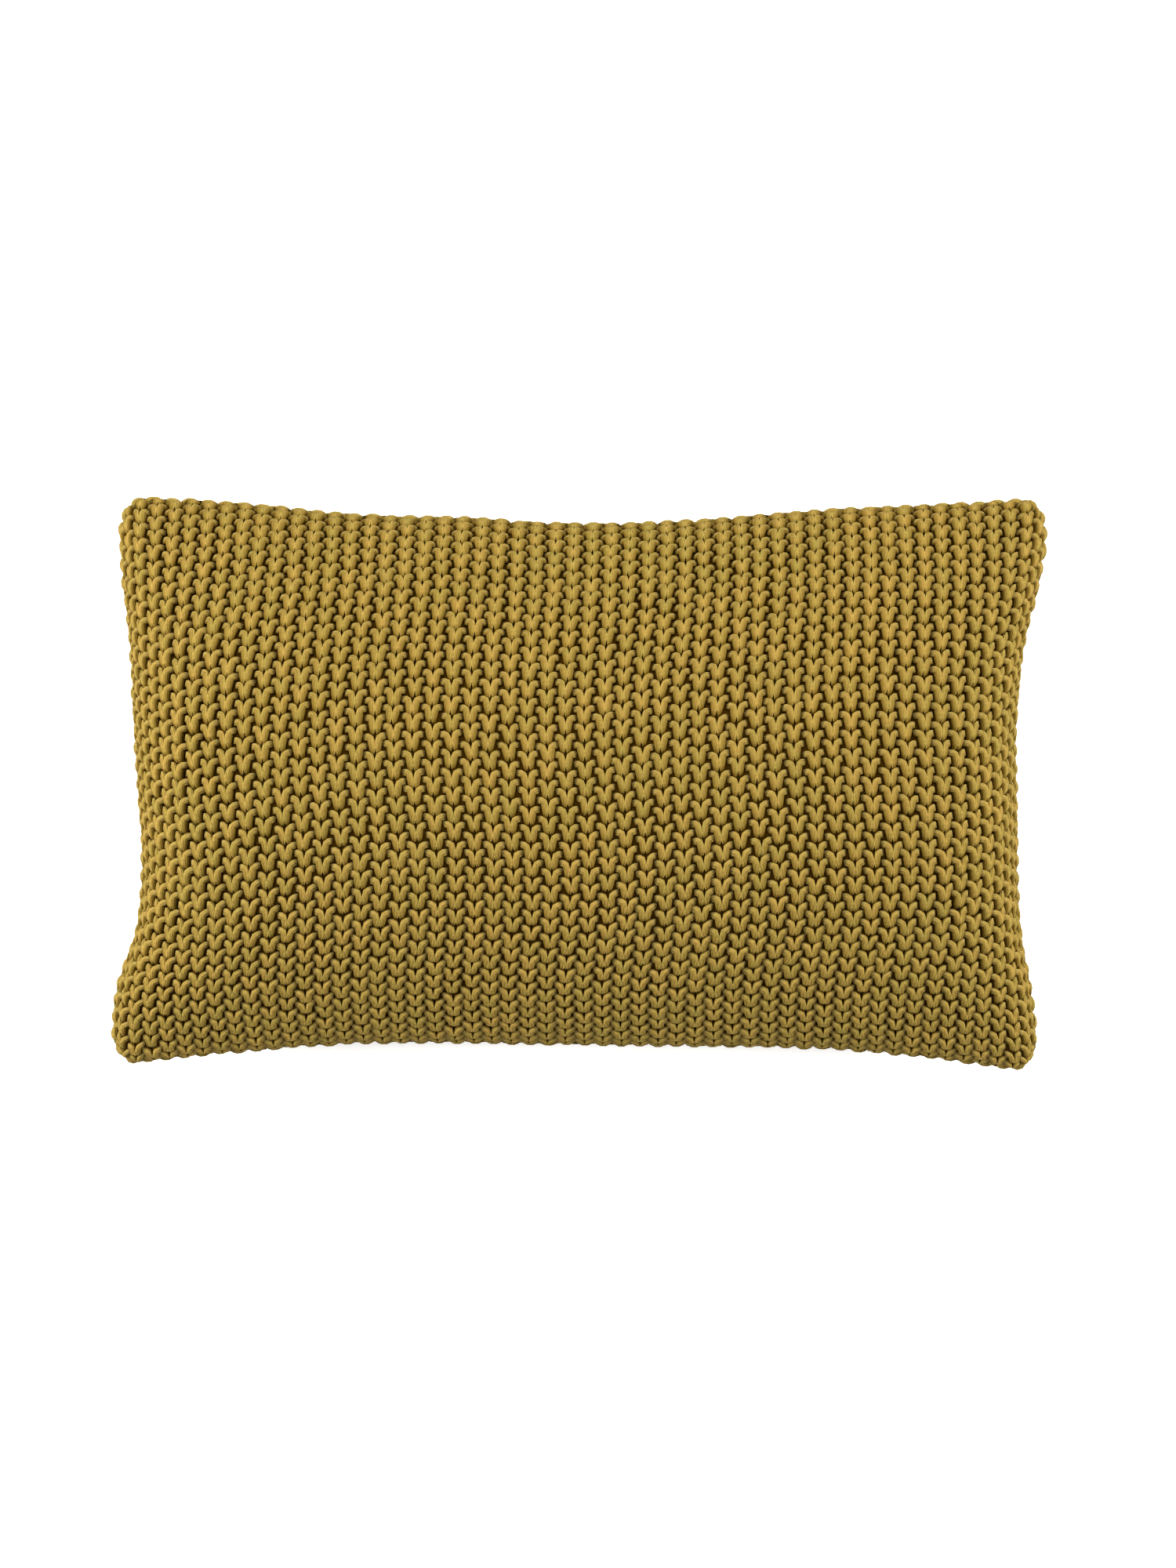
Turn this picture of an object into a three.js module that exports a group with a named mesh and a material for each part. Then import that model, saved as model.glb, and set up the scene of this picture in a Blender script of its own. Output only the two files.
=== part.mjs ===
// A filled knitted cushion that lies on its back: a face panel and a back panel of knit,
// joined along one seam that runs around all four sides, and filled until the face crowns
// and the sides draw in between the corners.
//
// Millimetres. +X runs to the right along the face, +Y to its top edge and +Z out of the face.
// The origin is on the surface that the back lies on, under the middle of the cushion.

import * as THREE from 'three';
import { mergeVertices } from 'three/addons/utils/BufferGeometryUtils.js';

// Heights through the thickness, measured from the seam.
const FACE_CROWN = 86; // the middle of the face
const BACK_DEPTH = 50; // the flat that the back lies on
const SEAM_HALF = 8; // half the thickness of the knit along the seam
const SEAM_ROUND = 0.05; // share of the way in from the seam over which its edge rounds over
const CORNER_DROOP = 6; // the corners hang this far below the rest of the seam

// How the filling swells a panel from its edges to its middle.
const LENGTH_FLATNESS = 5; // a flat middle along the length
const LENGTH_FULLNESS = 0.55; // well below 1, so that the left and right sides stand up steeply
const WIDTH_FLATNESS = 2; // a round arch across the width
const WIDTH_FULLNESS = 0.8; // the arch leaves the top and bottom edges less steeply
const FLAT_FROM = 0.9; // the back lies flat where it is at least this full
const BACK_EASE = 1.4; // how softly the back curves up out of its flat

// The panel as it was knitted, and its turned corners.
const PANEL = { length: 492, width: 300, cornerLength: 15, cornerWidth: 22 };

// The left and right edges of the filled panel, a row for each height on the face:
// v is -1 at the bottom edge and 1 at the top edge.
const SIDE_EDGES = [
  { v: -1.0, left: -248, right: 244 },
  { v: -0.75, left: -246, right: 241 },
  { v: -0.5, left: -234, right: 234 },
  { v: -0.25, left: -231, right: 232 },
  { v: 0.0, left: -233, right: 231 },
  { v: 0.25, left: -235, right: 231 },
  { v: 0.5, left: -237, right: 235 },
  { v: 0.75, left: -241, right: 244 },
  { v: 1.0, left: -243, right: 248 },
];

// The bottom and top edges, a row for each station along the length:
// u is -1 at the left edge and 1 at the right edge.
const LONG_EDGES = [
  { u: -1.0, bottom: -150, top: 152 },
  { u: -0.75, bottom: -143, top: 149 },
  { u: -0.5, bottom: -138, top: 143 },
  { u: -0.25, bottom: -137, top: 141 },
  { u: 0.0, bottom: -138, top: 138 },
  { u: 0.25, bottom: -139, top: 140 },
  { u: 0.5, bottom: -140, top: 145 },
  { u: 0.75, bottom: -145, top: 148 },
  { u: 1.0, bottom: -154, top: 151 },
];

// How finely the surface is divided.
const CORNER_STEPS = 8; // around each turned corner
const LENGTH_STEPS = 30; // along the top and bottom edges
const WIDTH_STEPS = 18; // along the left and right edges
const RINGS = 24; // from the middle of the face over the seam to the middle of the back

const KNIT = new THREE.MeshStandardMaterial({ color: 0xa98a3f, roughness: 0.9, metalness: 0 });

/** A smooth curve through two columns of an edge table, read at any station. */
function edgeCurve(rows, station, low, high) {
  const stations = rows.map((row) => row[station]);
  const values = rows.flatMap((row) => [row[low], row[high]]);
  return new THREE.CubicInterpolant(stations, values, 2);
}

const sideEdges = edgeCurve(SIDE_EDGES, 'v', 'left', 'right');
const longEdges = edgeCurve(LONG_EDGES, 'u', 'bottom', 'top');

/** The place in plan of the panel point (u, v), part of the way between the drawn-in edges. */
function plan(u, v) {
  const [left, right] = sideEdges.evaluate(v);
  const [bottom, top] = longEdges.evaluate(u);
  return {
    x: THREE.MathUtils.mapLinear(u, -1, 1, left, right),
    y: THREE.MathUtils.mapLinear(v, -1, 1, bottom, top),
  };
}

/** How full the panel is at (u, v): 0 on its edges and 1 in its middle. */
function fullness(u, v) {
  const along = Math.max(0, 1 - Math.abs(u) ** LENGTH_FLATNESS);
  const across = Math.max(0, 1 - Math.abs(v) ** WIDTH_FLATNESS);
  return along ** LENGTH_FULLNESS * across ** WIDTH_FULLNESS;
}

/** The back's fullness, pressed flat where it lies on a surface. */
function pressedFullness(u, v) {
  const short = Math.max(0, 1 - fullness(u, v) / FLAT_FROM);
  return 1 - short ** BACK_EASE;
}

/** The rounding of the seam's edge: 1 inside it, falling to 0 on the seam as a quarter round. */
function seamRound(reach) {
  const past = Math.max(0, reach - (1 - SEAM_ROUND)) / SEAM_ROUND;
  return Math.sqrt(Math.max(0, 1 - past * past));
}

/** The height of the seam near the panel point (u, v), where the corners hang. */
function seamHeight(u, v) {
  return -CORNER_DROOP * Math.abs(u * v) ** WIDTH_FLATNESS;
}

/** The panel's rim as points (u, v), anticlockwise from the bottom right corner. */
function panelRim() {
  const halfLength = PANEL.length / 2;
  const halfWidth = PANEL.width / 2;
  const { cornerLength, cornerWidth } = PANEL;
  const corners = [
    { x: 1, y: -1, start: -90, sideSteps: WIDTH_STEPS },
    { x: 1, y: 1, start: 0, sideSteps: LENGTH_STEPS },
    { x: -1, y: 1, start: 90, sideSteps: WIDTH_STEPS },
    { x: -1, y: -1, start: 180, sideSteps: LENGTH_STEPS },
  ];
  const arcs = corners.map(({ x, y, start }) => {
    const from = THREE.MathUtils.degToRad(start);
    const arc = new THREE.EllipseCurve(
      x * (halfLength - cornerLength),
      y * (halfWidth - cornerWidth),
      cornerLength,
      cornerWidth,
      from,
      from + Math.PI / 2,
    );
    return arc.getPoints(CORNER_STEPS);
  });
  const rim = corners.flatMap(({ sideSteps }, k) => {
    const arc = arcs[k];
    const side = new THREE.LineCurve(arc[CORNER_STEPS], arcs[(k + 1) % arcs.length][0]);
    return [...arc, ...side.getPoints(sideSteps).slice(1, sideSteps)];
  });
  return rim.map((point) => new THREE.Vector2(point.x / halfLength, point.y / halfWidth));
}

/**
 * The whole filled form. A closed sphere gives the mesh: its poles go to the middles of the
 * face and the back, its equator to the seam, and each meridian runs in from one rim point.
 */
function cushionGeometry() {
  const rim = panelRim();
  const geometry = new THREE.SphereGeometry(1, rim.length, RINGS);
  geometry.deleteAttribute('normal');
  geometry.deleteAttribute('uv');
  const position = geometry.getAttribute('position');
  for (let ring = 0; ring <= RINGS; ring += 1) {
    const polar = (Math.PI * ring) / RINGS;
    const onSeam = 2 * ring === RINGS;
    const atPole = ring === 0 || ring === RINGS;
    const reach = onSeam ? 1 : atPole ? 0 : Math.sin(polar);
    for (let step = 0; step <= rim.length; step += 1) {
      const { x: rimU, y: rimV } = rim[step % rim.length];
      const u = reach * rimU;
      const v = reach * rimV;
      const { x, y } = plan(u, v);
      const edge = SEAM_HALF * seamRound(reach);
      const face = edge + (FACE_CROWN - SEAM_HALF) * fullness(u, v);
      const back = edge + (BACK_DEPTH - SEAM_HALF) * pressedFullness(u, v);
      const swell = onSeam ? 0 : 2 * ring < RINGS ? face : -back;
      const height = Math.max(-BACK_DEPTH, seamHeight(u, v) + swell);
      position.setXYZ(ring * (rim.length + 1) + step, x, y, height);
    }
  }
  const closed = mergeVertices(geometry);
  closed.computeBoundingBox();
  const { min, max } = closed.boundingBox;
  closed.translate(-(min.x + max.x) / 2, -(min.y + max.y) / 2, -min.z);
  closed.computeVertexNormals();
  return closed;
}

const cushion = new THREE.Mesh(cushionGeometry(), KNIT);
cushion.name = 'cushion';

const part = new THREE.Group();
part.add(cushion);

export default part;
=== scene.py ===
"""Dresses the cushion: knit laid stitch by stitch on both panels, the linked seam and a studio.

Lengths are in millimetres until a mesh is made, and in metres in Blender. +X runs to the right
along the face, +Y to its top edge and +Z out of the face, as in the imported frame.
"""

from __future__ import annotations

import logging
import math
from dataclasses import dataclass
from enum import Enum
from typing import Any, NamedTuple

import bpy
import numpy as np
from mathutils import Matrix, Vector


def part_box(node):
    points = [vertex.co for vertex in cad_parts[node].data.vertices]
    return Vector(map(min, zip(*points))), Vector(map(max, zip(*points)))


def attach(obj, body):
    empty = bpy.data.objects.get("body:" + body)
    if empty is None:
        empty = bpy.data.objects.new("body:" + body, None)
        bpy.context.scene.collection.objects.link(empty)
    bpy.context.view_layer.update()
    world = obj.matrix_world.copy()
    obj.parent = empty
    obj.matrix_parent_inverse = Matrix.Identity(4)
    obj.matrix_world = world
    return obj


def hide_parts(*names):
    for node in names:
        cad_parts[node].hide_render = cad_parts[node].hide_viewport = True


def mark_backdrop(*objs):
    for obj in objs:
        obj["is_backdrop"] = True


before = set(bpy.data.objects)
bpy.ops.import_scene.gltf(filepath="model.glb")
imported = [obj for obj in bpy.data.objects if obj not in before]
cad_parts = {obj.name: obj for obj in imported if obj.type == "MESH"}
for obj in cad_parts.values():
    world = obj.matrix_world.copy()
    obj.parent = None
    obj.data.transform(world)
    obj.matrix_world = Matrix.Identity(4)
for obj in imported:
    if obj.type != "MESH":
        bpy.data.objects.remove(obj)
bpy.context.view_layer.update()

log = logging.getLogger("cushion")

MM = 0.001
NEAR_ZERO = 1e-9
WHITE = (1.0, 1.0, 1.0, 1.0)
NODE = "cushion"
BODY = "root"

# The meshes' UV maps and point values: each stitch's tone, how much painted shade a point
# takes, and how much of the painted highlight on the ear tips it takes.
BAKE_MAP = "OFBake"
YARN_MAP = "Yarn"
TONE = "tone"
DEPTH = "depth"
TIP_HIGHLIGHT = "fade"

Array = np.ndarray
Colour = tuple[float, float, float]


class Panel(Enum):
    """The two knitted panels; the value is the side of the seam that the panel swells to."""

    FACE = 1
    BACK = -1


# The form under the knit


def smooth_curve(values: tuple[float, ...], station: Array) -> Array:
    """Reads a smooth curve through values that stand at even stations from -1 to 1.

    Each stretch is the cubic that meets its two values with the slopes of their neighbours'
    chords; past each end the values are carried on in a straight line.

    Args:
        values: The values at the stations.
        station: Where to read the curve.

    Returns:
        The curve's values, in the shape of station.
    """
    row = np.array(values, float)
    row = np.concatenate([[2 * row[0] - row[1]], row, [2 * row[-1] - row[-2]]])
    last = len(values) - 1
    place = np.clip((station + 1) / 2, 0, 1) * last
    index = np.minimum(place.astype(int), last - 1)
    t = place - index
    a, b, c, d = (row[index + k] for k in range(4))
    bend = 2 * a - 5 * b + 4 * c - d + t * (3 * (b - c) + d - a)
    return b + t / 2 * (c - a + t * bend)


def smooth_step(share: Array) -> Array:
    """Goes from 0 to 1 as share does, level at both ends: 3 s^2 - 2 s^3."""
    return share * share * (3 - 2 * share)


def between_cells(table: Array, down: Array, right: Array) -> Array:
    """Reads a table that runs from -1 to 1 both ways, mixed from the four cells around a place.

    Args:
        table: Values in rows and columns.
        down: Places across its rows. Past the table they stay on its edge.
        right: Places across its columns.

    Returns:
        The values, in the shape of down.
    """
    rows, columns = table.shape
    row = (np.clip(down, -1, 1) + 1) / 2 * (rows - 1)
    column = (np.clip(right, -1, 1) + 1) / 2 * (columns - 1)
    i = np.minimum(row.astype(int), rows - 2)
    j = np.minimum(column.astype(int), columns - 2)
    upper = table[i, j] + (table[i, j + 1] - table[i, j]) * (column - j)
    lower = table[i + 1, j] + (table[i + 1, j + 1] - table[i + 1, j]) * (column - j)
    return upper + (lower - upper) * (row - i)


@dataclass(frozen=True)
class EdgePair:
    """Two opposite edges of the filled panel, at even stations from -1 to 1 along them."""

    low: tuple[float, ...]
    high: tuple[float, ...]

    def between(self, station: Array, share: Array) -> Array:
        """Goes from the low edge to the high one as share goes from -1 to 1.

        Args:
            station: The place along the edges.
            share: The way across.

        Returns:
            The places in plan, in millimetres.
        """
        low = smooth_curve(self.low, station)
        high = smooth_curve(self.high, station)
        return low + (high - low) * (share + 1) / 2


@dataclass(frozen=True)
class CushionForm:
    """The filled form: two panels that swell from one seam, fitted to the CAD node's box.

    A panel point (u, v) runs from -1 to 1 along the length and across the width. Its place in
    plan is part of the way between the drawn-in edges. Its height is the seam's rounded edge
    plus the filling, which follows (1 - |u|^5)^0.55 (1 - v^2)^0.8 and is pressed flat on the
    back.
    """

    low: Array
    high: Array
    face_crown: float = 86.0
    back_depth: float = 50.0
    seam_half: float = 8.0
    seam_round: float = 0.05
    corner_droop: float = 6.0
    length_flatness: float = 5.0
    length_fullness: float = 0.55
    width_flatness: float = 2.0
    width_fullness: float = 0.8
    flat_from: float = 0.9
    back_ease: float = 1.4
    panel_length: float = 492.0
    panel_width: float = 300.0
    corner_length: float = 15.0
    corner_width: float = 22.0
    sides: EdgePair = EdgePair(
        low=(-248, -246, -234, -231, -233, -235, -237, -241, -243),
        high=(244, 241, 234, 232, 231, 231, 235, 244, 248),
    )
    long_edges: EdgePair = EdgePair(
        low=(-150, -143, -138, -137, -138, -139, -140, -145, -154),
        high=(152, 149, 143, 141, 138, 140, 145, 148, 151),
    )
    slope_step: float = 0.002
    fit_steps: int = 720

    def rim(self, steps: int) -> tuple[Array, Array]:
        """The rounded rectangle of the seam, as panel points, anticlockwise from the right.

        Args:
            steps: How many points.

        Returns:
            u and v of the points, at even angles about the middle.
        """
        angle = np.linspace(0, 2 * math.pi, steps, endpoint=False)
        u = np.cos(angle) / self.panel_length
        v = np.sin(angle) / self.panel_width
        reach = self.reach(u, v)
        return u / reach, v / reach

    def reach(self, u: Array, v: Array) -> Array:
        """How far out the point is: 0 in the middle and 1 on the seam.

        The seam is scaled about the middle until it meets the point. On a straight side that
        scale is the larger of |u| and |v|; in a corner it solves the quadratic of the corner's
        quarter ellipse, in lengths of the ellipse's half axes.

        Args:
            u: Place along the length.
            v: Place across the width.

        Returns:
            The reach, in the shape of u.
        """
        straight = np.maximum(np.maximum(np.abs(u), np.abs(v)), NEAR_ZERO)
        half_x = self.panel_length / 2 / self.corner_length
        half_y = self.panel_width / 2 / self.corner_width
        x, y = np.abs(u) * half_x, np.abs(v) * half_y
        arc_x, arc_y = half_x - 1, half_y - 1
        square = np.maximum(x * x + y * y, NEAR_ZERO)
        dot = x * arc_x + y * arc_y
        rest = arc_x**2 + arc_y**2 - 1
        grow = (dot + np.sqrt(np.maximum(dot * dot - square * rest, 0))) / square
        in_corner = (x > arc_x * straight) & (y > arc_y * straight)
        return np.where(in_corner, 1 / np.maximum(grow, NEAR_ZERO), straight)

    def height(self, panel: Panel, u: Array, v: Array) -> Array:
        """The panel's height over the seam's level.

        Args:
            panel: Which panel.
            u: Place along the length.
            v: Place across the width.

        Returns:
            The heights, in millimetres.
        """
        past = np.maximum(0, self.reach(u, v) - (1 - self.seam_round)) / self.seam_round
        edge = self.seam_half * np.sqrt(np.maximum(0, 1 - past * past))
        along = np.maximum(0, 1 - np.abs(u) ** self.length_flatness)
        across = np.maximum(0, 1 - np.abs(v) ** self.width_flatness)
        full = along**self.length_fullness * across**self.width_fullness
        seam = -self.corner_droop * np.abs(u * v) ** self.width_flatness
        if panel is Panel.FACE:
            return seam + edge + (self.face_crown - self.seam_half) * full
        pressed = 1 - np.maximum(0, 1 - full / self.flat_from) ** self.back_ease
        depth = edge + (self.back_depth - self.seam_half) * pressed
        return np.maximum(-self.back_depth, seam - depth)

    def plan(self, u: Array, v: Array) -> Array:
        """Places in plan, before the form is fitted to the box: between the drawn-in edges."""
        return np.stack([self.sides.between(v, u), self.long_edges.between(u, v)], -1)

    def point(self, panel: Panel, u: Array, v: Array) -> Array:
        """The surface point, with the form's box moved and sized to the CAD node's box.

        Args:
            panel: Which panel.
            u: Place along the length.
            v: Place across the width.

        Returns:
            Points of the shape (..., 3), in millimetres.
        """
        edge = self.plan(*self.rim(self.fit_steps))
        own_low = np.append(edge.min(0), -self.back_depth)
        own_high = np.append(edge.max(0), self.face_crown)
        grow = (self.high - self.low) / (own_high - own_low)
        loose = np.concatenate([self.plan(u, v), self.height(panel, u, v)[..., None]], -1)
        return self.low + (loose - own_low) * grow

    def surface(self, panel: Panel, u: Array, v: Array, lift: Array | float) -> Array:
        """Points that stand off the panel along its outward normal.

        The normal is the cross product of the two slopes, each taken over a short step towards
        the middle, so that no step leaves the panel.

        Args:
            panel: Which panel.
            u: Place along the length.
            v: Place across the width.
            lift: How far outside the surface, in millimetres; below 0 is inside.

        Returns:
            Points of the shape (..., 3), in millimetres.
        """
        step_u = np.where(u > 0, -self.slope_step, self.slope_step)
        step_v = np.where(v > 0, -self.slope_step, self.slope_step)
        here = self.point(panel, u, v)
        slope_u = (self.point(panel, u + step_u, v) - here) / step_u[..., None]
        slope_v = (self.point(panel, u, v + step_v) - here) / step_v[..., None]
        normal = np.cross(slope_u, slope_v) * panel.value
        normal /= np.linalg.norm(normal, axis=-1, keepdims=True)
        return here + normal * np.asarray(lift)[..., None]


# Yarn and meshes

# The pressed section of a yarn, from its lower left: places to the side in half widths, heights
# in half thicknesses, and depths in shadow from 0 to 1. Its right shoulder is lower, so that two
# lengths side by side make a dome.
YARN_PROFILE = ((-0.98, -1.0, 1.0), (0.98, -1.0, 1.0), (0.76, 0.6, 0.75), (-0.92, 1.0, 0.0))

# The numbers that give a face corner's place on its yarn.
AROUND, ALONG, SHARE = range(3)

# How much of a cell the bake's map leaves free on each side.
ATLAS_MARGIN = 0.06


class Ring(NamedTuple):
    """A cross-section of yarn: its middle across, along and above the knit, and its half sizes.

    tilt is how far the top's right shoulder is raised and its left shoulder lowered, and shade
    how much deeper in shadow the ring lies than the rest of the yarn.
    """

    across: float
    along: float
    lift: float
    width: float
    thick: float
    tilt: float = 0.0
    shade: float = 0.0


@dataclass(frozen=True)
class Strand:
    """Closed lengths of yarn, with each face corner's place on its own length of yarn.

    points has the shape (n, 3), faces (m, 4), and corners (m, 4, 3): the share of the way
    around, the way along in millimetres and the share of the way along. lengths says which
    length of yarn a face belongs to, and depths how deep in shadow each point lies: 0 on top
    and 1 below.
    """

    points: Array
    faces: Array
    corners: Array
    lengths: Array
    depths: Array

    def with_mirror(self, drop: float) -> Strand:
        """Adds the strand's mirror image across the knit, its faces turned to point outwards.

        Args:
            drop: How much lower the image lies, in millimetres.

        Returns:
            Both, with the image's points and lengths of yarn numbered on.
        """
        image = self.points * [-1, 1, 1] - [0, 0, drop]
        return Strand(
            points=np.concatenate([self.points, image]),
            faces=np.concatenate([self.faces, self.faces[:, ::-1] + len(self.points)]),
            corners=np.concatenate([self.corners, self.corners[:, ::-1]]),
            lengths=np.concatenate([self.lengths, self.lengths + self.lengths.max() + 1]),
            depths=np.tile(self.depths, 2),
        )


def carry_yarn(rings: tuple[Ring, ...]) -> Strand:
    """Carries the yarn's profile along the rings' middles and closes both ends.

    At each ring the profile stands upright and square to the path in plan. Each of its points
    is the middle, plus the half width times the profile's first number on the path's side, plus
    the half thickness times its second number upwards. The tilt times the first number is added
    to the height of the points on top. A point's depth is the profile's plus the ring's shade.
    One face of four corners closes each end.

    Args:
        rings: The cross-sections, in order.

    Returns:
        The strand.
    """
    path, width, thick, tilt, shade = np.split(np.array(rings, float), (3, 4, 5, 6), axis=1)
    side, up, depth = np.array(YARN_PROFILE).T
    sides = len(YARN_PROFILE)
    heading = np.gradient(path, axis=0)[:, :2]
    heading /= np.linalg.norm(heading, axis=1, keepdims=True)
    beside = width * side
    points = np.repeat(path[:, None], sides, 1)
    points[..., 0] -= beside * heading[:, 1:]
    points[..., 1] += beside * heading[:, :1]
    points[..., 2] += thick * up
    points[..., 2] += tilt * side * (up > 0)

    count = len(rings)
    i, j = np.meshgrid(np.arange(count - 1), np.arange(sides), indexing="ij")
    after = (j + 1) % sides
    quads = [i * sides + j, i * sides + after, (i + 1) * sides + after, (i + 1) * sides + j]
    run = np.concatenate([[0], np.cumsum(np.linalg.norm(np.diff(path, axis=0), axis=1))])
    share = np.linspace(0, 1, count)
    places = [
        np.stack([(j + dj) / sides, run[i + di], share[i + di]], -1)
        for di, dj in ((0, 0), (0, 1), (1, 1), (1, 0))
    ]
    cap = np.roll(np.arange(sides)[::-1], 1)[None]
    end_cap = (count - 1) * sides + cap[:, ::-1]
    faces = np.concatenate([np.stack(quads, -1).reshape(-1, 4), cap, end_cap])
    wall = np.stack(places, 2).reshape(-1, 4, 3)
    ends = np.repeat([[[0.0, 0.0, 0.0]], [[0.0, run[-1], 1.0]]], sides, 1)
    corners = np.concatenate([wall, ends])
    depths = np.clip(depth + shade, 0, 1).ravel()
    return Strand(points.reshape(-1, 3), faces, corners, np.zeros(len(faces), int), depths)


def atlas(strand: Strand, copies: int) -> Array:
    """Lays every length of yarn flat in its own cell of a square, in a map with no overlaps.

    The cells stand in rows; a face corner's place in its cell is the share of the way around
    and the share of the way along, inside a small margin.

    Args:
        strand: The repeated strand.
        copies: How many times it is repeated.

    Returns:
        UV places of the shape (copies, faces, 4, 2).
    """
    per_copy = int(strand.lengths.max()) + 1
    columns = math.ceil(math.sqrt(copies * per_copy))
    cell = np.arange(copies)[:, None] * per_copy + strand.lengths[None, :]
    corner = np.stack([cell % columns, cell // columns], -1)[:, :, None, :]
    place = strand.corners[None, :, :, [AROUND, SHARE]]
    inside = ATLAS_MARGIN + (1 - 2 * ATLAS_MARGIN) * place
    return (corner + inside) / columns


def mesh_object(
    name: str,
    points: Array,
    faces: Array | list[list[int]],
    maps: dict[str, Array] | None = None,
    values: dict[str, Array] | None = None,
) -> bpy.types.Object:
    """Makes a smooth-shaded mesh object at the origin from arrays.

    Args:
        name: The object's name.
        points: Points of the shape (n, 3), in millimetres.
        faces: Point numbers of each face.
        maps: UV places of each face corner, by map name.
        values: A number for each point, by attribute name.

    Returns:
        The new object, linked to the scene.
    """
    mesh = bpy.data.meshes.new(name)
    mesh.from_pydata(points * MM, [], faces)
    for map_name, places in (maps or {}).items():
        layer = mesh.uv_layers.new(name=map_name)
        layer.uv.foreach_set("vector", np.ascontiguousarray(places, np.float32).ravel())
    for value_name, numbers in (values or {}).items():
        attribute = mesh.attributes.new(value_name, "FLOAT", "POINT")
        attribute.data.foreach_set("value", np.ascontiguousarray(numbers, np.float32))
    mesh.shade_smooth()
    mesh.update()
    made = bpy.data.objects.new(name, mesh)
    bpy.context.scene.collection.objects.link(made)
    return made


def strand_copies(
    name: str,
    strand: Strand,
    points: Array,
    tone: Array,
    values: dict[str, Array],
    yarn_shift: float = 0.0,
) -> bpy.types.Object:
    """Makes one mesh of laid copies of a strand.

    Args:
        name: The object's name.
        strand: The strand.
        points: The copies' points, of the shape (copies, points, 3), in millimetres.
        tone: Each copy's tone, from 0 to 1.
        values: A number for each point of the strand, by attribute name.
        yarn_shift: How far a copy's map is moved along the yarn, times its tone, in millimetres.

    Returns:
        The new object, linked to the scene.
    """
    count, size = points.shape[:2]
    faces = strand.faces + (np.arange(count) * size)[:, None, None]
    yarn = np.repeat(strand.corners[None, :, :, [AROUND, ALONG]], count, 0)
    yarn[..., 1] += tone[:, None, None] * yarn_shift
    repeated = {key: np.tile(numbers, count) for key, numbers in values.items()}
    return mesh_object(
        name,
        points.reshape(-1, 3),
        faces.reshape(-1, 4),
        {BAKE_MAP: atlas(strand, count), YARN_MAP: yarn},
        {TONE: np.repeat(tone, size), **repeated},
    )


def part_shading(mesh: bpy.types.Mesh, on_line: Array) -> None:
    """Keeps the smooth shading apart along lines of points.

    Args:
        mesh: The mesh, with its edges made.
        on_line: True for each point on such a line. An edge is sharp if both its ends are.
    """
    ends = np.empty(2 * len(mesh.edges), np.int32)
    mesh.edges.foreach_get("vertices", ends)
    sharp = on_line[ends].reshape(-1, 2).all(1)
    mesh.attributes.new("sharp_edge", "BOOLEAN", "EDGE").data.foreach_set("value", sharp)


# Finishes

# The Mix node's colour sockets.
MIX_FIRST, MIX_SECOND, MIX_RESULT = 6, 7, 2

# How far fibre is drawn out along its yarn, and the noises' detail.
FIBRE_DRAW = 0.3
FIBRE_DETAIL = 3.0
DYE_DETAIL = 2.0


@dataclass(frozen=True)
class Bench:
    """Adds and joins nodes in one shader tree."""

    tree: bpy.types.NodeTree

    def node(
        self, kind: str, sockets: dict[Any, Any] | None = None, **settings: Any
    ) -> bpy.types.Node:
        """Adds a node, sets it up and joins what feeds it.

        Args:
            kind: The node's type name.
            sockets: Input values, or the outputs that feed them, by input name or number.
            **settings: The node's own properties.

        Returns:
            The new node.
        """
        made = self.tree.nodes.new(kind)
        for name, value in settings.items():
            setattr(made, name, value)
        for key, value in (sockets or {}).items():
            if isinstance(value, bpy.types.NodeSocket):
                self.tree.links.new(value, made.inputs[key])
            else:
                made.inputs[key].default_value = value
        return made

    def math(self, operation: str, *values: Any) -> bpy.types.NodeSocket:
        """Adds a Math node and returns its output."""
        return self.node("ShaderNodeMath", dict(enumerate(values)), operation=operation).outputs[0]

    def centred(self, value: bpy.types.NodeSocket) -> bpy.types.NodeSocket:
        """The value less a half, so that what runs from 0 to 1 goes both ways."""
        return self.math("SUBTRACT", value, 0.5)

    def mix(self, share: Any, first: Any, second: Any) -> bpy.types.NodeSocket:
        """Mixes a share of the second colour into the first, and returns the output."""
        sockets = {"Factor": share, MIX_FIRST: first, MIX_SECOND: second}
        return self.node("ShaderNodeMix", sockets, data_type="RGBA").outputs[MIX_RESULT]

    def noise(self, place: Any, scale: Any, detail: float) -> bpy.types.NodeSocket:
        """Adds a noise texture and returns its value's output."""
        sockets = {"Vector": place, "Scale": scale, "Detail": detail}
        return self.node("ShaderNodeTexNoise", sockets).outputs[0]

    def value(self, name: str) -> bpy.types.NodeSocket:
        """Reads a mesh's point value."""
        return self.node("ShaderNodeAttribute", attribute_name=name).outputs["Fac"]

    def surface(self, sockets: dict[str, Any]) -> None:
        """Ends the tree with a Principled shader that has these inputs."""
        shader = self.node("ShaderNodeBsdfPrincipled", sockets)
        self.node("ShaderNodeOutputMaterial", {"Surface": shader.outputs[0]})


def blank_material(name: str, colour: Colour) -> tuple[bpy.types.Material, Bench]:
    """Makes a material with no nodes in it.

    Args:
        name: The material's name.
        colour: The colour that plain views show.

    Returns:
        The material and a bench on its tree.
    """
    made = bpy.data.materials.new(name)
    made.use_nodes = True
    made.diffuse_color = (*colour, 1.0)
    made.node_tree.nodes.clear()
    return made, Bench(made.node_tree)


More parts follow.
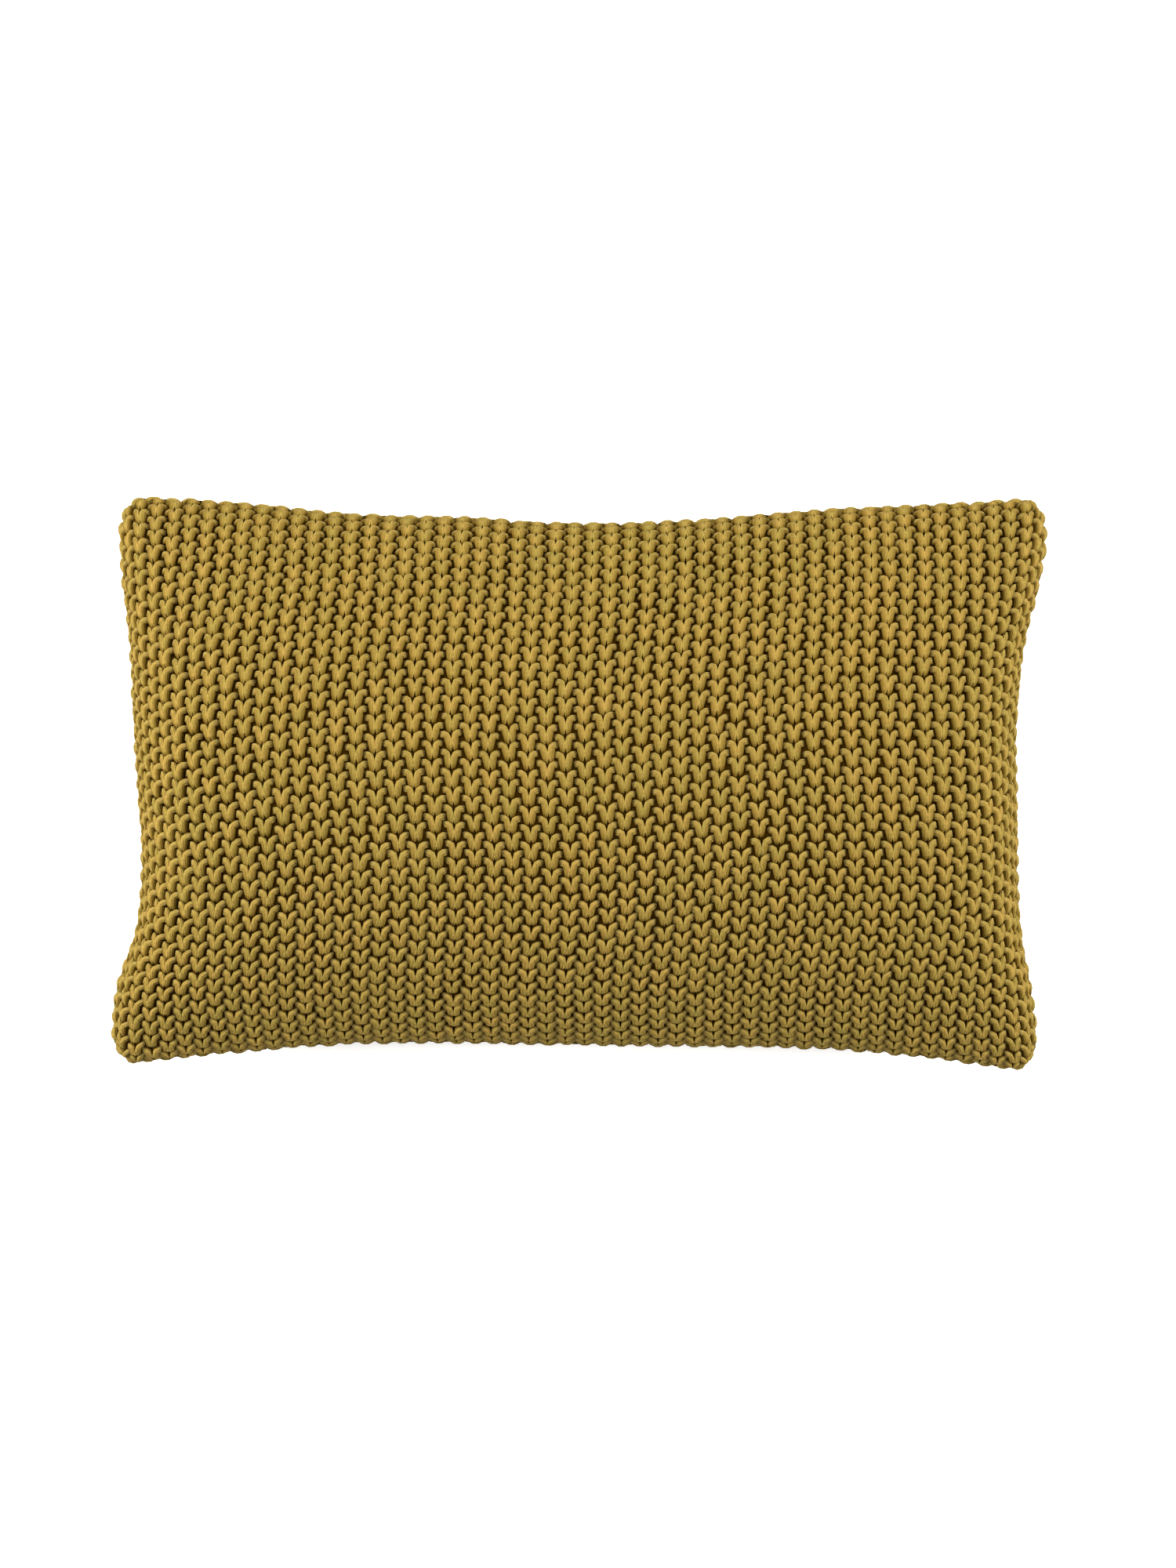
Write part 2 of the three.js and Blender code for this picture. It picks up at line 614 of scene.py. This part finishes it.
def new_group(name: str, inputs: dict[str, float], outputs: tuple[str, ...]) -> bpy.types.NodeTree:
    """Makes an empty shader group with named value sockets.

    Args:
        name: The group's name.
        inputs: Default values by input name.
        outputs: The outputs' names.

    Returns:
        The group, with its sockets but no nodes.
    """
    group = bpy.data.node_groups.new(name, "ShaderNodeTree")
    for socket_name, value in inputs.items():
        socket = group.interface.new_socket(
            socket_name, in_out="INPUT", socket_type="NodeSocketFloat"
        )
        socket.default_value = value
    for socket_name in outputs:
        group.interface.new_socket(socket_name, in_out="OUTPUT", socket_type="NodeSocketFloat")
    return group


def plied_strands() -> bpy.types.NodeTree:
    """The twisted strands of a yarn and its fibre, read from the yarn's own map.

    Crest is half of one plus the cosine of a full turn for each strand around the yarn and for
    each turn of twist along it. Fibre is noise drawn out along the yarn.

    Returns:
        The shader group, built once.
    """
    name = "Plied strands"
    if name in bpy.data.node_groups:
        return bpy.data.node_groups[name]
    group = new_group(name, {"Strands": 8.0, "Twist": 0.1, "Fineness": 2.0}, ("Crest", "Fibre"))
    bench = Bench(group)
    given = bench.node("NodeGroupInput")
    yarn = bench.node("ShaderNodeUVMap", uv_map=YARN_MAP)
    place = bench.node("ShaderNodeSeparateXYZ", {0: yarn.outputs[0]})
    around = bench.math("MULTIPLY", place.outputs[0], given.outputs["Strands"])
    along = bench.math("MULTIPLY", place.outputs[1], given.outputs["Twist"])
    turns = bench.math("ADD", around, along)
    wave = bench.math("COSINE", bench.math("MULTIPLY", turns, 2 * math.pi))
    crest = bench.math("MULTIPLY_ADD", wave, 0.5, 0.5)
    drawn_out = bench.math("MULTIPLY", place.outputs[1], FIBRE_DRAW)
    stretch = bench.node("ShaderNodeCombineXYZ", {0: turns, 1: drawn_out})
    fibre = bench.noise(stretch.outputs[0], given.outputs["Fineness"], FIBRE_DETAIL)
    bench.node("NodeGroupOutput", {"Crest": crest, "Fibre": fibre})
    return group


def dye_drift() -> bpy.types.NodeTree:
    """Uneven dye over the whole piece: noise on Object coordinates, broad and fine.

    Returns:
        The shader group, built once.
    """
    name = "Dye drift"
    if name in bpy.data.node_groups:
        return bpy.data.node_groups[name]
    sizes = ("Broad", "Fine")
    group = new_group(name, {"Broad": 9.0, "Fine": 160.0}, sizes)
    bench = Bench(group)
    given = bench.node("NodeGroupInput")
    place = bench.node("ShaderNodeTexCoord").outputs["Object"]
    noises = {size: bench.noise(place, given.outputs[size], DYE_DETAIL) for size in sizes}
    bench.node("NodeGroupOutput", noises)
    return group


@dataclass(frozen=True)
class YarnFinish:
    """Thick matte cotton yarn: plied strands, uneven dye, a painted highlight on the ear tips and
    painted shade down in the gaps.

    The tints say how far a stitch's tone and the fine noise move the dye from ochre to olive, and
    the shades how far grooves, fibre and tone move it to the shade: the grooves' share is painted
    shade between the strands, the rest uneven colour. The paler highlight tint is painted on the
    ear tips for the light they catch, and also tints the sheen. The relief is in metres.
    """

    name: str
    ochre: Colour
    olive: Colour
    highlight_tint: Colour
    shade: Colour
    strands: float = 8.0
    twist: float = 0.1
    tone_tint: float = 0.5
    fine_tint: float = 1.5
    groove_shade: float = 0.2
    fibre_shade: float = 1.2
    tone_shade: float = 0.1
    roughness: float = 0.9
    fibre_roughness: float = 0.15
    sheen: float = 0.03
    sheen_roughness: float = 0.5
    specular: float = 0.02
    relief: float = 0.00035
    crest_relief: float = 0.6

    def material(self) -> bpy.types.Material:
        """Makes the material, or returns it if it is made.

        Returns:
            The yarn material.
        """
        if self.name in bpy.data.materials:
            return bpy.data.materials[self.name]
        made, bench = blank_material(self.name, self.ochre)
        turns = {"Strands": self.strands, "Twist": self.twist}
        plies = bench.node("ShaderNodeGroup", turns, node_tree=plied_strands())
        drift = bench.node("ShaderNodeGroup", node_tree=dye_drift())
        crest, fibre = plies.outputs["Crest"], plies.outputs["Fibre"]
        tone = bench.centred(bench.value(TONE))
        fine = bench.centred(drift.outputs["Fine"])
        loose = bench.centred(fibre)

        tint = bench.math("MULTIPLY_ADD", tone, self.tone_tint, drift.outputs["Broad"])
        tint = bench.math("MULTIPLY_ADD", fine, self.fine_tint, tint)
        dyed = bench.mix(tint, (*self.ochre, 1), (*self.olive, 1))
        # Painted highlight: the ear tips are mixed towards the paler tint, for the light they
        # catch.
        highlighted = bench.mix(bench.value(TIP_HIGHLIGHT), dyed, (*self.highlight_tint, 1))
        # Painted shade in the grooves between the plied strands, with uneven fibre and tone,
        # darkens the yarn.
        groove = bench.math("SUBTRACT", 1.0, crest)
        mottle_and_groove_shade = bench.math("MULTIPLY", loose, self.fibre_shade)
        mottle_and_groove_shade = bench.math("MULTIPLY_ADD", groove, self.groove_shade, mottle_and_groove_shade)
        grain_and_groove_shade = bench.math("MULTIPLY_ADD", tone, self.tone_shade, mottle_and_groove_shade)
        mottled_and_groove_shaded = bench.mix(bench.math("MAXIMUM", grain_and_groove_shade, 0.0), highlighted, (*self.shade, 1))
        colour = bench.mix(bench.value(DEPTH), mottled_and_groove_shaded, (*self.shade, 1))

        rough = bench.math("MULTIPLY_ADD", loose, self.fibre_roughness, self.roughness)
        swell = bench.math("MULTIPLY_ADD", crest, self.crest_relief, fibre)
        bump = bench.node("ShaderNodeBump", {"Height": swell, "Distance": self.relief})
        bench.surface(
            {
                "Base Color": colour,
                "Roughness": rough,
                "Normal": bump.outputs[0],
                "Specular IOR Level": self.specular,
                "Sheen Weight": self.sheen,
                "Sheen Roughness": self.sheen_roughness,
                "Sheen Tint": (*self.highlight_tint, 1),
            }
        )
        return made


@dataclass(frozen=True)
class ShadeFinish:
    """The deep shade of the knit, which shows only in the gaps between stitches."""

    name: str
    dark: Colour
    pale: Colour
    fineness: float = 500.0
    relief: float = 0.0004
    roughness: float = 1.0
    specular: float = 0.05

    def material(self) -> bpy.types.Material:
        """Makes the material.

        Returns:
            The shade's material.
        """
        made, bench = blank_material(self.name, self.dark)
        drift = bench.node("ShaderNodeGroup", {"Fine": self.fineness}, node_tree=dye_drift())
        fine = drift.outputs["Fine"]
        colour = bench.mix(fine, (*self.dark, 1), (*self.pale, 1))
        bump = bench.node("ShaderNodeBump", {"Height": fine, "Distance": self.relief})
        bench.surface(
            {
                "Base Color": colour,
                "Normal": bump.outputs[0],
                "Roughness": self.roughness,
                "Specular IOR Level": self.specular,
            }
        )
        return made


PANEL_YARN = YarnFinish(
    name="Ochre panel yarn",
    ochre=(0.325, 0.207, 0.046),
    olive=(0.278, 0.209, 0.046),
    highlight_tint=(0.342, 0.254, 0.08),
    shade=(0.085, 0.045, 0.002),
)
SEAM_YARN = YarnFinish(
    name="Ochre seam yarn",
    ochre=(0.295, 0.194, 0.042),
    olive=(0.255, 0.188, 0.042),
    highlight_tint=(0.30, 0.22, 0.06),
    shade=(0.085, 0.045, 0.002),
    strands=6.0,
    twist=0.2,
)
GAP_SHADE = ShadeFinish(
    name="Shade under the knit",
    dark=(0.045, 0.019, 0.0008),
    pale=(0.085, 0.04, 0.0015),
)


# The pieces of the cushion


@dataclass(frozen=True)
class Stitch:
    """One stitch: two legs of yarn side by side, each with an ear that turns out at its top.

    The right leg's rings run from the end of its ear, round the elbow, down beside the notch
    and through the body to the end that tucks in behind the stitch below. The left leg is its
    mirror image, set a little lower so that the legs' tops never share a plane. From the ring
    numbered meets_from on, the legs run together.
    """

    right_leg: tuple[Ring, ...] = (
        Ring(across=5.9, along=0.4, lift=-0.3, width=1.55, thick=1.0, tilt=0.6, shade=0.3),
        Ring(across=4.75, along=0.5, lift=0.65, width=1.95, thick=1.25, tilt=0.8),
        Ring(across=3.55, along=0.4, lift=1.2, width=2.0, thick=1.4, tilt=0.7),
        Ring(across=2.4, along=-0.2, lift=1.5, width=1.95, thick=1.5, tilt=0.35),
        Ring(across=2.0, along=-1.7, lift=1.6, width=1.95, thick=1.5),
        Ring(across=1.7, along=-3.4, lift=1.6, width=1.95, thick=1.4, tilt=0.15),
        Ring(across=1.55, along=-5.1, lift=1.35, width=1.75, thick=1.3, tilt=0.15),
        Ring(across=1.6, along=-6.9, lift=0.7, width=1.4, thick=1.1, shade=0.4),
        Ring(across=1.65, along=-8.6, lift=-0.5, width=1.05, thick=0.8, shade=1.0),
    )
    left_drop: float = 0.04
    meets_from: int = 4

    def strand(self) -> Strand:
        """Both legs, the right one first."""
        return carry_yarn(self.right_leg).with_mirror(self.left_drop)

    def meeting_line(self) -> Array:
        """Marks the top lines along which the two legs meet.

        Returns:
            True for each point of the strand that is on one: the profile's last, on such rings.
        """
        sides = len(YARN_PROFILE)
        ring, side = np.divmod(np.arange(len(self.right_leg) * sides), sides)
        return np.tile((ring >= self.meets_from) & (side == sides - 1), 2)

    def crown(self) -> float:
        """How far the yarn stands above the knit's middle."""
        return float(self.strand().points[:, 2].max())


@dataclass(frozen=True)
class Wobble:
    """How the courses wander: a steady rise to the right, and a wave on it, in millimetres."""

    rise: float = 0.066
    height: float = 2.0
    length: float = 206.0
    steepest: float = 54.0

    def shift(self, across: Array) -> Array:
        """The courses' shift at places across the panel: rise times place, plus a sine wave."""
        turn = 2 * math.pi * (across - self.steepest) / self.length
        return self.rise * across + self.height * np.sin(turn)


@dataclass(frozen=True)
class Unevenness:
    """How unlike the stitches are: the spread of each difference, and its mean if it isn't 0.

    turn is in radians, size is a share of the stitch's, and nudge and lift are in millimetres.
    """

    turn: float = 0.045
    mean_size: float = 0.985
    size: float = 0.025
    nudge: float = 0.22
    mean_lift: float = -0.15
    lift: float = 0.15


@dataclass(frozen=True)
class KnitPanel:
    """One knitted panel: columns of stitches in brick order, laid over the form.

    A stitch's place on the flat knit is a length along the form's rows, and a share of the
    length of each column, so that stitches keep their size and close up only near the seam.
    """

    form: CushionForm
    panel: Panel
    stitch: Stitch = Stitch()
    wobble: Wobble = Wobble()
    uneven: Unevenness = Unevenness()
    column_pitch: float = 9.66
    stitch_pitch: float = 9.26
    row_reserve: float = 1.3
    overhang: float = 3.5
    corner_slack: float = 0.03
    last_reach: float = 0.9996
    seam_margin: float = 1e-6
    highlight_from: float = 2.8
    highlight_over: float = 2.4
    yarn_shift: float = 40.0
    pieces: int = 2
    seed: int = 11
    ruler_steps: int = 801
    ruler_rows: int = 81

    def ruler(self, u: Array, v: Array) -> Array:
        """Measures the knit along lines of panel points.

        Args:
            u: Places along the length, one row for each line.
            v: Places across the width.

        Returns:
            The running length from the middle of each line, in millimetres.
        """
        line = self.form.surface(self.panel, u, v, -self.stitch.crown())
        steps = np.linalg.norm(np.diff(line, axis=1), axis=-1)
        run = np.pad(np.cumsum(steps, axis=1), ((0, 0), (1, 0)))
        return run - run[:, [run.shape[1] // 2]]

    def stations(self) -> Array:
        """Places from -1 to 1, closer together towards the ends, where the form is steep."""
        return np.sin(np.linspace(-math.pi / 2, math.pi / 2, self.ruler_steps))

    def row_place(self, across: Array, v: Array) -> Array:
        """Finds u at a length across the columns, measured along the form's row at v.

        A table holds u at even lengths along even rows. Towards the corners the knit is
        gathered: the length falls short by the slack times the half length, times the cube of
        its share of that, times the smooth step of |v|.

        Args:
            across: Place across the columns, in millimetres, from the middle.
            v: Place across the width.

        Returns:
            The places along the length. Past the seam they stay on it.
        """
        u, rows = np.meshgrid(self.stations(), np.linspace(-1, 1, self.ruler_rows))
        run = self.ruler(u, rows)
        half = np.abs(run).max()
        lengths = np.linspace(-half, half, self.ruler_steps)
        table = np.array([np.interp(lengths, row_run, row_u) for row_run, row_u in zip(run, u)])
        slack = self.corner_slack * half * (across / half) ** 3 * smooth_step(np.abs(v))
        return between_cells(table, v, (across - slack) / half)

    def column_place(self, along: Array, u: Array) -> Array:
        """Finds v at a length along the columns, shared out over the form's column at u.

        A table holds v at even shares of each column's length, up and down from its middle. The
        middle column keeps the knit's own length, and every row runs from side to side.

        Args:
            along: Place along the columns, in millimetres, from the middle.
            u: Place along the length.

        Returns:
            The places across the width. Past the seam they stay on it.
        """
        even = np.linspace(-1, 1, self.ruler_rows)
        columns, v = np.meshgrid(even, self.stations(), indexing="ij")
        run = self.ruler(columns, v)
        shares = np.linspace(-1, 1, self.ruler_steps)
        own_shares = run / np.where(run < 0, -run[:, :1], run[:, -1:])
        table = np.array([np.interp(shares, own, line) for own, line in zip(own_shares, v)])
        middle = run[self.ruler_rows // 2]
        return between_cells(table, u, along / np.where(along < 0, -middle[0], middle[-1]))

    def panel_place(self, across: Array, along: Array) -> tuple[Array, Array]:
        """Turns places on the flat knit into panel points, none past the seam.

        Along every row the knit keeps its length, so the last columns run off the sides, and
        along every column it is shared out.

        Args:
            across: Place across the columns, in millimetres, from the middle.
            along: Place along the columns.

        Returns:
            u and v of the places. The back's columns run the other way.
        """
        near_u = self.row_place(across, self.column_place(along, np.zeros_like(across)))
        v = self.column_place(along, near_u)
        u = self.row_place(across, v)
        past = np.maximum(self.form.reach(u, v) / self.last_reach, 1)
        return u / past * self.panel.value, v / past

    def centres(self) -> Array:
        """The stitches' middles on the flat knit, in brick order.

        Returns:
            Places across and along, of the shape (stitches, 2), column by column.
        """
        station = self.stations()[None]
        length = self.ruler(station, 0 * station)[0]
        width = self.ruler(0 * station, station)[0]
        columns = round((length[-1] - length[0]) / self.column_pitch)
        pitch = (length[-1] - length[0]) / columns
        rows = math.ceil(width[-1] * self.row_reserve / self.stitch_pitch)
        column, row = np.meshgrid(np.arange(columns), np.arange(-rows, rows + 1), indexing="ij")
        across = length[0] + (column + 0.5) * pitch
        along = (row + column % 2 / 2) * self.stitch_pitch + self.wobble.shift(across)
        inner = [place - np.sign(place) * self.overhang for place in (across, along)]
        u, v = self.panel_place(*inner)
        kept = self.form.reach(u, v) < self.last_reach - self.seam_margin
        return np.stack([across[kept], along[kept]], -1)

    def lay(self, centres: Array, rng: np.random.Generator) -> Array:
        """Lays a copy of the stitch at each place, each a little different, over the form.

        A point of a copy is turned and sized about its own middle, moved to its place on the
        flat knit, carried to the panel and lifted off the form by its own height.

        Args:
            centres: The stitches' middles on the flat knit.
            rng: Where the small differences come from.

        Returns:
            Points of the shape (stitches, points, 3), in millimetres.
        """
        count = len(centres)
        turn = rng.normal(0, self.uneven.turn, (count, 1))
        size = rng.normal(self.uneven.mean_size, self.uneven.size, (count, 1))
        nudge = rng.normal(0, self.uneven.nudge, (2, count, 1))
        raise_by = rng.normal(self.uneven.mean_lift, self.uneven.lift, (count, 1))
        x, y, z = self.stitch.strand().points.T
        across = centres[:, :1] + nudge[0] + size * (x * np.cos(turn) - y * np.sin(turn))
        along = centres[:, 1:] + nudge[1] + size * (x * np.sin(turn) + y * np.cos(turn))
        along = along + self.wobble.shift(across) - self.wobble.shift(centres[:, :1])
        u, v = self.panel_place(across, along)
        lift = np.minimum(z + raise_by, self.stitch.crown()) - self.stitch.crown()
        points = self.form.surface(self.panel, u, v, lift)
        points[..., 2] = np.maximum(points[..., 2], self.form.low[2])
        return points

    def build(self) -> list[bpy.types.Object]:
        """Makes the panel's pieces and dresses them.

        Returns:
            The pieces, left part first.
        """
        rng = np.random.default_rng(self.seed)
        centres = self.centres()
        laid = self.lay(centres, rng)
        tone = rng.uniform(0, 1, len(centres))
        strand = self.stitch.strand()
        # Painted highlight: the ear tips, out past the body, are marked to take the paler tint.
        fade = np.clip((np.abs(strand.points[:, 0]) - self.highlight_from) / self.highlight_over, 0, 1)
        values = {DEPTH: strand.depths, TIP_HIGHLIGHT: fade}
        made = []
        for number, part in enumerate(np.array_split(np.arange(len(centres)), self.pieces), 1):
            name = f"{self.panel.name.lower()}_knit_{number}"
            piece = strand_copies(name, strand, laid[part], tone[part], values, self.yarn_shift)
            part_shading(piece.data, np.tile(self.stitch.meeting_line(), len(part)))
            piece.data.materials.append(PANEL_YARN.material())
            made.append(piece)
        return made


@dataclass(frozen=True)
class SeamChain:
    """The linked row that joins the panels: overlapping slanted links around the whole seam."""

    form: CushionForm
    pitch: float = 9.66
    drop: float = 1.5
    bulge: float = 0.3
    link: tuple[Ring, ...] = (
        Ring(across=0.5, along=-5.6, lift=-1.9, width=1.8, thick=1.2),
        Ring(across=0.2, along=-3.6, lift=-0.6, width=2.5, thick=1.6),
        Ring(across=0.0, along=-1.4, lift=0.0, width=2.9, thick=1.9),
        Ring(across=0.0, along=1.4, lift=0.0, width=2.9, thick=1.9),
        Ring(across=-0.2, along=3.6, lift=-0.6, width=2.5, thick=1.6),
        Ring(across=-0.5, along=5.6, lift=-1.9, width=1.8, thick=1.2),
    )
    size_spread: float = 0.05
    height_spread: float = 0.25
    bulge_spread: float = 0.2
    tones: tuple[float, float] = (0.2, 0.8)
    depth_share: float = 0.4
    look_ahead: float = 1.0
    seed: int = 5
    rim_steps: int = 4000

    def build(self) -> bpy.types.Object:
        """Makes the chain and dresses it.

        A link's place along is a length along the seam, its lift goes out of the seam in plan,
        and its place across goes up through the cushion's thickness.

        Returns:
            The chain, one joined mesh.
        """
        u, v = self.form.rim(self.rim_steps)
        seam = self.form.point(Panel.FACE, u, v)
        seam = np.concatenate([seam, seam[:1]])
        steps = np.linalg.norm(np.diff(seam, axis=0), axis=1)
        run = np.concatenate([[0], np.cumsum(steps)])
        whole = run[-1]
        count = round(whole / self.pitch)
        strand = carry_yarn(self.link)
        rng = np.random.default_rng(self.seed)
        across, along, lift = strand.points.T
        crown = max(ring.lift + ring.thick for ring in self.link)
        size = rng.normal(1, self.size_spread, (count, 1))
        place = np.arange(count)[:, None] * whole / count + along * size
        height = across * size - self.drop + rng.normal(0, self.height_spread, (count, 1))
        out = lift - crown + rng.normal(self.bulge, self.bulge_spread, (count, 1))
        wrapped = np.mod(place, whole)
        onward = np.mod(wrapped + self.look_ahead, whole)
        base = np.stack([np.interp(wrapped, run, seam[:, k]) for k in range(3)], -1)
        ahead = np.stack([np.interp(onward, run, seam[:, k]) for k in range(2)], -1)
        heading = ahead - base[..., :2]
        heading /= np.linalg.norm(heading, axis=-1, keepdims=True)
        points = base.copy()
        points[..., 0] += heading[..., 1] * out
        points[..., 1] -= heading[..., 0] * out
        points[..., 2] += height
        tone = rng.uniform(*self.tones, count)
        values = {DEPTH: strand.depths * self.depth_share}
        made = strand_copies("seam_chain", strand, points, tone, values)
        made.data.materials.append(SEAM_YARN.material())
        return made


@dataclass(frozen=True)
class ShadeCore:
    """A closed dark form just under the knit: painted shade, standing in for the deeper yarn in
    shadow between the stitches.
    """

    form: CushionForm
    inset: float = 5.4
    edge_inset: float = 2.6
    edge_from: float = 0.93
    rim_steps: int = 240
    rings: int = 36
    last_reach: float = 0.996

    def build(self) -> bpy.types.Object:
        """Makes the closed core and dresses it.

        Rings of the seam's outline, scaled by the sine of even angles, lie inside the face and
        then inside the back, nearer to the surface along the seam; a point closes each middle.

        Returns:
            The core.
        """
        u, v = self.form.rim(self.rim_steps)
        reach = self.last_reach * np.sin(np.linspace(0, math.pi / 2, self.rings + 1)[1:])
        edge = smooth_step(np.clip((reach - self.edge_from) / (1 - self.edge_from), 0, 1))
        inset = (self.inset + (self.edge_inset - self.inset) * edge)[:, None]
        face = self.form.surface(Panel.FACE, reach[:, None] * u, reach[:, None] * v, -inset)
        back = self.form.surface(Panel.BACK, reach[:, None] * u, reach[:, None] * v, -inset)
        middle = np.zeros(1)
        poles = [self.form.surface(side, middle, middle, -self.inset) for side in Panel]
        rings = np.concatenate([face, back[::-1]])
        here = np.arange(self.rim_steps)
        after = np.roll(here, -1)
        first = np.arange(len(rings) - 1)[:, None] * self.rim_steps
        second = first + self.rim_steps
        quads = np.stack([first + here, second + here, second + after, first + after], -1)
        pole = np.full_like(here, len(rings) * self.rim_steps)
        last = pole - self.rim_steps
        top = np.stack([pole, here, after], -1)
        bottom = np.stack([pole + 1, last + after, last + here], -1)
        faces = quads.reshape(-1, 4).tolist() + top.tolist() + bottom.tolist()
        points = np.concatenate([rings.reshape(-1, 3), *poles])
        made = mesh_object("knit_shade_core", points, faces)
        made.data.materials.append(GAP_SHADE.material())
        return made


# The studio


@dataclass(frozen=True)
class AreaLamp:
    """A soft box of light that points at the cushion."""

    name: str
    place: tuple[float, float, float]
    size: float
    power: float

    def build(self, target: Vector) -> bpy.types.Object:
        """Makes the lamp.

        Args:
            target: The point that it faces.

        Returns:
            The lamp.
        """
        data = bpy.data.lights.new(self.name, "AREA")
        data.shape = "DISK"
        data.size = self.size
        data.energy = self.power
        lamp = bpy.data.objects.new(self.name, data)
        lamp.location = self.place
        lamp.rotation_euler = (target - lamp.location).to_track_quat("-Z", "Y").to_euler()
        bpy.context.scene.collection.objects.link(lamp)
        return lamp


@dataclass(frozen=True)
class Studio:
    """A pale floor, soft lamps and a camera that looks down on the face.

    The camera leans a few degrees to the top edge, and its lens is chosen so that the cushion
    fills the photograph's frame as it does there. Lengths are in metres, the sensor's in
    millimetres, the tilt in degrees and the lamps' power in watts.
    """

    tilt: float = 4.3
    distance: float = 2.6
    frame_height: float = 0.8268
    target: tuple[float, float, float] = (0.0055, 0.0006, 0.05)
    sensor: float = 36.0
    floor_half: float = 30.0
    floor_drop: float = 0.0003
    floor_colour: Colour = (0.92, 0.92, 0.915)
    floor_roughness: float = 0.9
    floor_specular: float = 0.1
    floor_glow: float = 0.45
    sky: float = 0.27
    lamps: tuple[AreaLamp, ...] = (
        AreaLamp("Key", place=(-0.2, 0.5, 2.5), size=2.0, power=49.0),
        AreaLamp("Left", place=(-2.2, 0.5, 1.15), size=1.4, power=108.0),
        AreaLamp("Right", place=(2.2, 0.5, 1.15), size=1.4, power=94.0),
    )

    def floor(self) -> bpy.types.Object:
        """Makes the floor, a square just under the cushion.

        Returns:
            The floor, marked as stage.
        """
        half = self.floor_half / MM
        corners = np.array([[-1, -1], [1, -1], [1, 1], [-1, 1]]) * half
        points = np.column_stack([corners, np.full(4, -self.floor_drop / MM)])
        made = mesh_object("floor", points, [[0, 1, 2, 3]])
        paint, bench = blank_material("Pale floor", self.floor_colour)
        bench.surface(
            {
                "Base Color": (*self.floor_colour, 1),
                "Roughness": self.floor_roughness,
                "Specular IOR Level": self.floor_specular,
                "Emission Color": WHITE,
                "Emission Strength": self.floor_glow,
            }
        )
        made.data.materials.append(paint)
        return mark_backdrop(made)

    def camera(self) -> bpy.types.Object:
        """Makes the camera at the photograph's angle.

        Returns:
            The camera.
        """
        data = bpy.data.cameras.new("Camera")
        data.sensor_width = self.sensor
        data.lens = self.sensor * self.distance / self.frame_height
        camera = bpy.data.objects.new("Camera", data)
        lean = math.radians(self.tilt)
        back = Vector((0, math.sin(lean), math.cos(lean)))
        camera.location = Vector(self.target) + back * self.distance
        camera.rotation_euler = (-lean, 0, 0)
        bpy.context.scene.collection.objects.link(camera)
        bpy.context.scene.camera = camera
        return camera

    def build(self) -> None:
        """Makes the floor, the camera, the lamps and the even light of the room."""
        scene = bpy.context.scene
        self.floor()
        self.camera()
        for lamp in self.lamps:
            lamp.build(Vector(self.target))
        world = bpy.data.worlds.new("Room")
        world.use_nodes = True
        room = world.node_tree.nodes["Background"]
        room.inputs["Color"].default_value = WHITE
        room.inputs["Strength"].default_value = self.sky
        scene.world = world
        scene.view_settings.view_transform = "Standard"


def dress(piece: bpy.types.Object) -> None:
    """Ties a piece to the cushion's body, and reports it.

    Args:
        piece: The piece.
    """
    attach(piece, BODY)
    log.info("%s: %d faces", piece.name, len(piece.data.polygons))


def main() -> None:
    """Builds the studio, the core, both panels and the seam, in that order."""
    logging.basicConfig(level=logging.INFO, format="%(name)s %(message)s")
    low, high = (np.array(corner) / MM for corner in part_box(NODE))
    form = CushionForm(low=low, high=high)
    Studio().build()
    core = ShadeCore(form).build()
    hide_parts(NODE)
    panels = [
        *KnitPanel(form, Panel.FACE).build(),
        *KnitPanel(form, Panel.BACK, wobble=Wobble(rise=-0.04, steepest=-20.0), seed=23).build(),
    ]
    chain = SeamChain(form).build()
    for piece in [core, *panels, chain]:
        dress(piece)


if __name__ == "__main__":
    main()
